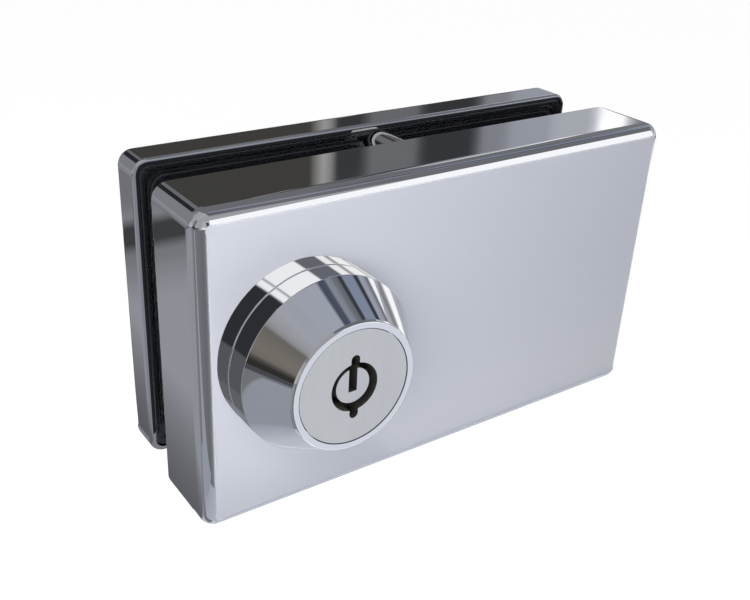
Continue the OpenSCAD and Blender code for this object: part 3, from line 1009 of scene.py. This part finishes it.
@dataclass(frozen=True)
class ConeFan(Panel):
    """A striped ribbon that arches over the set, or lies on the case, and paints the stripes of reflection on
    the collar's cone.
    """

    name: str
    start: float
    end: float
    bands: Bands
    onto_case: bool = False
    wide: Pair = (17.4, -19.45)
    narrow: Pair = (12.5, -27.2)
    lean: float = 0.045
    lean_from: float = 8.0
    far: float = 900.0
    turns: int = 161
    runs: int = 7

    def build(self) -> None:
        """Builds the panel from the looks that the cone sends on.

        A point of the cone, at an angle from the top and a share of the way from its wide end to its
        narrow end, mirrors the look from the camera in its normal, and the look goes on for the far
        distance, or as far as the case. The far ribbon is wider than the cone needs, because the
        finish spreads the looks. The stripes lean the more, the further they lie round to the right.
        """
        spread = 0.15 if self.onto_case else 1.5
        ends = (-spread, 1 + spread, self.runs)
        turn, share, quads = fan_grid((self.start, self.end, self.turns), ends)
        angle, run, drop = np.radians(turn), self.wide[0] - self.narrow[0], self.wide[1] - self.narrow[1]
        radial = np.stack([-np.sin(angle), np.zeros_like(angle), np.cos(angle)], axis=-1)
        normal = (radial * drop + np.array([0.0, -run, 0.0])) / math.hypot(run, drop)
        radius, depth = self.wide[0] - run * share, self.wide[1] - drop * share
        spot = np.array([COLLAR_AXIS[0], 0.0, COLLAR_AXIS[1]]) + radial * radius[..., None]
        spot[..., 1] += depth
        look = spot - np.array(EYE)
        look = look / np.linalg.norm(look, axis=-1, keepdims=True)
        away = look - 2 * np.sum(look * normal, axis=-1, keepdims=True) * normal
        to_case = CASE_FRONT - PANEL_GAP - spot[..., 1:2]
        reach = to_case / away[..., 1:2] if self.onto_case else self.far
        points = (spot + away * reach).reshape(-1, 3) * MM
        middle = (self.wide[0] + self.narrow[0]) / 2
        leaned = turn - self.lean * np.maximum(self.lean_from - turn, 0.0) * (radius - middle)
        across = np.clip((leaned - self.start) / (self.end - self.start) * 2 - 1, -INSIDE, INSIDE)
        quads = facing(points, quads, spot.reshape(-1, 3) * MM)
        surface = points, quads, rows(across, (share - 0.5) / (1 + 2 * spread))
        self.lay(f"card_cone_{self.name}", surface, placed(self.bands, self.start, self.end), HARD_EDGE, True)


@dataclass(frozen=True)
class GapSheet(Panel):
    """A grey sheet across the glass gap, seen only by the back plate, that paints the reflections in it."""

    name: str
    y: float
    across: Pair
    upright: Pair
    bands: Bands

    def build(self) -> None:
        """Builds the sheet: a flat grid of X and Z at one depth, turned to the rear."""
        u, v, quads = square_grid(3)
        x = np.mean(self.across) + u * np.ptp(self.across) / 2
        z = np.mean(self.upright) + v * np.ptp(self.upright) / 2
        points = rows(x, self.y, z) * MM
        quads = facing(points, quads, points + direction(0, 0))
        self.lay(f"card_gap_{self.name}", (points, quads, rows(u, v)), self.bands, 0.02, True)


@dataclass(frozen=True)
class FloorFan(Panel):
    """A sheet on the floor round the case's front left corner, shaded by direction, that paints the
    reflections in that corner's rounding.
    """

    bands: Bands
    corner: Pair = (-55.0, -9.0)
    start: float = -85.0
    end: float = -205.0
    reach: float = 300.0
    lift: float = 0.34
    turns: int = 61
    runs: int = 4

    def build(self) -> None:
        """Builds the sheet: each ray leaves the corner in a direction turned from +Y towards +X."""
        turn, run, quads = fan_grid((self.start, self.end, self.turns), (0.5, self.reach, self.runs))
        x = self.corner[0] + run * np.sin(np.radians(turn))
        y = self.corner[1] + run * np.cos(np.radians(turn))
        across = (turn - self.start) / (self.end - self.start) * 2 - 1
        surface = rows(x, y, self.lift) * MM, quads, rows(across * INSIDE, run / self.reach * 0.9)
        self.lay("sheet_front_left", surface, placed(self.bands, self.start, self.end), HARD_EDGE)


@dataclass(frozen=True)
class FloorSheet(Panel):
    """A grey sheet just above the floor beside the lock that paints reflections in its metal."""

    name: str
    middle: Pair
    size: Pair
    bands: Bands
    soft: float = 0.2
    lift: float = 0.25
    turn: float = 0.0

    def build(self) -> None:
        """Builds the sheet; its bands run along its first side, which is turned from +X towards +Y."""
        side = direction(90 - self.turn, 0) * self.size[0] / 2 * MM
        over = direction(-self.turn, 0) * self.size[1] / 2 * MM
        middle = np.array([*self.middle, self.lift]) * MM
        self.lay(f"sheet_{self.name}", flat_surface(middle, side, over), self.bands, self.soft)


@dataclass(frozen=True)
class Lamp:
    """A square soft lamp that points at the lock."""

    name: str
    azimuth: float
    elevation: float
    distance: float
    size: float
    watts: float
    aim: Triple = (0.0, 0.0, 0.03)

    def build(self) -> None:
        """Builds the lamp in its direction from the lock."""
        back = direction(self.azimuth, self.elevation)
        data = bpy.data.lights.new(f"lamp_{self.name}", "AREA")
        data.shape = "SQUARE"
        data.size = self.size
        data.energy = self.watts
        lamp = add_object(f"lamp_{self.name}", data)
        lamp.matrix_world = standing(back, np.array(self.aim) + back * self.distance)
        lamp.visible_glossy = False


def standing(back: Array, place: Array, roll: float = 0.0) -> Matrix:
    """Gives the matrix of a camera or lamp whose own +Z axis points along a direction.

    Args:
        back: the direction from what it looks at to itself.
        place: where it stands, in metres.
        roll: turn about that direction, in degrees.

    Returns:
        The matrix.
    """
    side = np.array([-back[1], back[0], 0.0])
    side = side / np.linalg.norm(side)
    over = np.cross(back, side)
    r = math.radians(roll)
    matrix = np.eye(4)
    matrix[:3, 0] = math.cos(r) * side + math.sin(r) * over
    matrix[:3, 1] = math.cos(r) * over - math.sin(r) * side
    matrix[:3, 2] = back
    matrix[:3, 3] = place
    return Matrix(matrix.tolist())


@dataclass
class Studio:
    """White set, panels for the reflections, soft lamps and the camera."""

    panels: list[Panel]
    lamps: list[Lamp]
    floor_half: float = 6.0
    floor_white: float = 0.34
    floor_glow: float = 0.90
    world_light: float = 0.48
    later_world: float = 0.5
    camera_azimuth: float = 216.0338
    camera_elevation: float = 26.945
    camera_roll: float = 2.9569
    lens: float = 46.575
    sensor: float = 36.0
    nearest: float = 0.005

    def build(self) -> None:
        """Builds the whole set."""
        self.set_world()
        self.set_floor()
        for item in (*self.panels, *self.lamps):
            item.build()
        self.set_camera()
        bpy.context.scene.view_settings.view_transform = "Standard"

    def set_world(self) -> None:
        """Makes the room white when seen and in first reflections, and softer in later ones and as light."""
        world = bpy.data.worlds.new("white_room")
        bpy.context.scene.world = world
        sheet = NodeSheet(world)
        level = sheet.ramp(sheet.seen_rays(), 0.0, 1.0, self.world_light, 1.0, "LINEAR")
        depth = sheet.node("LightPath").outputs["Ray Depth"]
        early, late = FIRST_REFLECTION - 0.3, FIRST_REFLECTION + 0.3
        later = sheet.ramp(depth, early, late, 1.0, self.later_world, "LINEAR")
        inputs = {"Color": (1.0, 1.0, 1.0, 1.0), "Strength": sheet.maths("MULTIPLY", level, later)}
        sheet.node("OutputWorld", {"Surface": sheet.node("Background", inputs).outputs["Background"]})

    def set_floor(self) -> None:
        """Lays a flat white floor under the lock that keeps its shadow."""
        u, v, quads = square_grid(5)
        material = bpy.data.materials.new("floor_white")
        sheet = NodeSheet(material)
        matt = sheet.node("BsdfDiffuse", {"Color": (self.floor_white,) * 3 + (1.0,)}).outputs["BSDF"]
        level = sheet.ramp(sheet.seen_rays(), 0.0, 1.0, 0.0, self.floor_glow, "LINEAR")
        glow = sheet.node("Emission", {"Strength": level}).outputs["Emission"]
        both = sheet.node("AddShader", {0: matt, 1: glow}).outputs["Shader"]
        sheet.node("OutputMaterial", {"Surface": both})
        make_piece("floor", rows(u, v, 0.0) * self.floor_half, [quads], material)

    def set_camera(self) -> None:
        """Places the camera at the photograph's view."""
        data = bpy.data.cameras.new("camera")
        data.lens = self.lens
        data.sensor_width = self.sensor
        data.sensor_fit = "HORIZONTAL"
        data.clip_start = self.nearest
        camera = add_object("camera", data)
        back = direction(self.camera_azimuth, self.camera_elevation)
        camera.matrix_world = standing(back, np.array(EYE) * MM, self.camera_roll)
        bpy.context.scene.camera = camera


def collar_panels() -> list[Panel]:
    """Sets up what the collar sees.

    Returns:
        The striped panels of its rings and its cone.
    """
    fan = greys(
        (-62, 0.72), (-30, 0.62), (-26, 1.0), (-16.5, 0.40, -0.04), (-13, 1.0), (-7, 0.16, 0.12), (7, 1.05),
        (28, 0.2, 0.1), (29, 1.05), (33.5, 0.034, 0.12), (72, 0.11, 0.06), (97, 0.14, 0.08),
        (112, 0.24, 0.1), (126, 0.15, 0.1),
    )
    case = greys(
        (-76, 0.50, 0.08), (-60, 0.43, 0.08), (-52.5, 0.50, 0.06), (-49.5, 1.15), (-43, 1.15), (-40, 0.34),
        (-36, 0.24, 0.03), (-33, 0.48, 0.06),
    )
    right = greys(
        (-33, 0.48, 0.06), (-31.6, 1.15, 0.02), (-29.6, 1.15, 0.02), (-28, 0.16, 0.1), (-26.4, 0.22, 0.1),
        (-24.6, 0.38, 0.12), (-20.8, 0.43, 0.12), (-19.4, 0.05, 0.2), (-17.2, 0.05, 0.2), (-15.8, 0.29, 0.25),
        (-8.4, 0.30, 0.25), (-7, 0.05, 0.2), (-5.2, 0.05, 0.2), (-4, 0.165, 0.12), (-1, 0.2, 0.12),
        (0.6, 0.27, 0.12), (3.6, 0.31, 0.12), (5.4, 0.10, 0.3), (9.2, 0.09, 0.3), (11, 0.44, 0.12),
        (28, 0.44, 0.1),
    )
    left = (
        *greys((28, 0.42, 0.08), (37, 0.44, 0.07), (44, 0.38, 0.03), (46.8, 0.31)),
        (48.6, (0.17, 0.162, 0.145)),
        (60, (0.222, 0.196, 0.17)),
        (64, (0.205, 0.18, 0.155)),
        (66, (0.1, 0.09, 0.08)),
        *greys((68.2, 0.035, -0.1), (71.2, 0.03, -0.05), (72.4, 0.075, 0.08)),
    )
    return [
        CollarFan(spans(fan, 1.2)),
        ConeFan("case", -76.0, -33.0, case, onto_case=True),
        ConeFan("right", -33.0, 28.0, right),
        ConeFan("left", 28.0, 72.4, left),
    ]


def backdrop() -> Card:
    """Sets up the stripes behind the lock, by their azimuth.

    Returns:
        A wide card.
    """
    stripes = greys(
        (-14, 0.055, -0.08), (31.9, 0.36, -0.03), (32.9, 0.045, 0.05), (35.1, 0.16, 0.04),
        (38.4, 0.042, 0.06), (42.2, 0.25, 0.07), (44.0, 0.36, 0.1), (46.6, 0.45, 0.06), (49.35, 1.22),
        (51.05, 0.36, 0.06), (51.7, 0.20, 0.05),
    )
    low, high = -14.0, 76.0
    middle, half = (low + high) / 2, (high - low) / 2
    steep = math.tan(math.radians(half))
    flat = [(math.tan(math.radians(a - middle)) / steep * half + middle, shade) for a, shade in stripes]
    bands = placed(spans(tuple(flat), 0.5), low, high)
    return Card("behind", middle, 27, high - low, 70, bands, soft=0.03, distance=4.0, upright=True)


def room_panels() -> list[Panel]:
    """Sets up the room.

    Returns:
        The cards round the set and the sheets in the glass gap.
    """
    return [
        backdrop(),
        Card("window", 140, 6, 46, 54, plain(1.15)),
        Card("canopy", 60, 64, 160, 48, plain(0.17, 0.05), distance=1.3),
        Card("left_behind", -11, 30, 15, 24, plain(0.022, 0.05), 0.3),
        Card("left_light", -40, 30, 62, 76, plain(0.24, 0.05), distance=2.4),
        GapSheet("round", 13.0, (-75, 75), (-4, 69.5), plain(0.27, 0.12)),
        GapSheet("middle", 13.2, (-55.2, 75), (1, 65.6), plain(0.02, 0.1)),
        Card("front_left", -122, 14, 64, 44, plain(0.40, 0.05), 0.12, 1.6),
        Card("patch", 176, 17, 16, 18, plain(0.08, 0.06), 0.2),
        Card("ceiling", -170, 70, 150, 76, plain(0.40, 0.03), 0.12, 1.5),
    ]


def floor_panels() -> list[Panel]:
    """Sets up the painted reflections that lie on the floor.

    Returns:
        The sheets.
    """
    corner = greys(
        (-85, 0.27, 0.05), (-95, 0.21, 0.05), (-124, 0.19, 0.05), (-150, 0.165, 0.05), (-159, 0.17, 0.05),
        (-175, 0.34, 0.04), (-186, 0.62, 0.03), (-196, 0.93), (-205, 1.0),
    )
    back_left = greys(
        (-10, 0.33, 0.06), (88, 0.30, 0.06), (97, 0.26, 0.05), (106, 0.215, 0.05), (118.5, 0.055, 0.02),
        (138.5, 0.24, 0.05), (150, 0.20, 0.05), (200, 0.26, 0.05),
    )
    back_left = placed(spans(back_left, 8.0), -10, 330)
    near_left = greys(
        (0.0, 0.33, 0.06), (0.37, 0.33, 0.06), (0.61, 0.23, 0.06), (0.82, 0.16, 0.06), (1.0, 0.12, 0.06)
    )
    near_front = greys(
        (0.0, 0.36, 0.12), (0.24, 0.38, 0.14), (0.36, 0.48, 0.1), (0.49, 0.60, 0.08), (1.0, 0.64, 0.08)
    )
    return [
        FloorSheet("left_wide", (-1530, 2746), (2946, 5508), plain(0.30, 0.06), 0.002, 0.2),
        FloorSheet("left_back", (-300, 160), (340, 486), back_left, 0.01, 0.25, 90.0),
        FloorSheet("left_near", (-71.3, 40), (29.4, 96), near_left, 0.02, 0.28),
        FloorSheet("left_far", (-1650, -450), (2700, 900), plain(0.08, 0.08), 0.01, 0.2),
        FloorSheet("cone_strip", (-165, -41), (210, 14), plain(0.36, 0.1), 0.02, 0.37, 12.4),
        FloorSheet("front_near", (-47, -16.5), (74, 12), near_front, 0.06, 0.36),
        FloorSheet("foot", (0, -8.1), (118, 10.2), plain(0.62, 0.08), 0.02, 0.12),
        FloorSheet("under", (0, 14), (118, 34), plain(0.25, 0.06), 0.02, 0.12),
        FloorSheet("front", (20, -230), (700, 400), plain(0.83, 0.08), 0.08, 0.16),
        FloorSheet("right_back", (1279, 991), (2850, 700), plain(0.05, 0.03), 0.05, 0.22, 39.0),
        FloorFan(corner),
    ]


def studio() -> Studio:
    """Returns the set with its panels and lamps."""
    panels = [*collar_panels(), *room_panels(), *floor_panels()]
    return Studio(panels, [Lamp("key", -141, 23.6, 0.225, 0.16, 0.47)])


def main() -> None:
    """Loads the lock, dresses it and sets up the studio."""
    logging.basicConfig(level=logging.INFO, format="%(name)s: %(message)s")
    for item in list(bpy.data.objects):
        bpy.data.objects.remove(item)
    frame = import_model()
    finishes = finish_book()
    slots = {entry["node"]: Slot(entry["material_slot"]) for entry in frame["record"]["subparts"]}
    for name, node in frame["nodes"].items():
        node.data.materials.clear()
        node.data.materials.append(finishes[slots[name]])
        LOG.info("node %s: finish %s", name, slots[name].value)
    KeyCollar().build(finishes)
    BackPlate().build(finishes)
    studio().build()


if __name__ == "__main__":
    main()
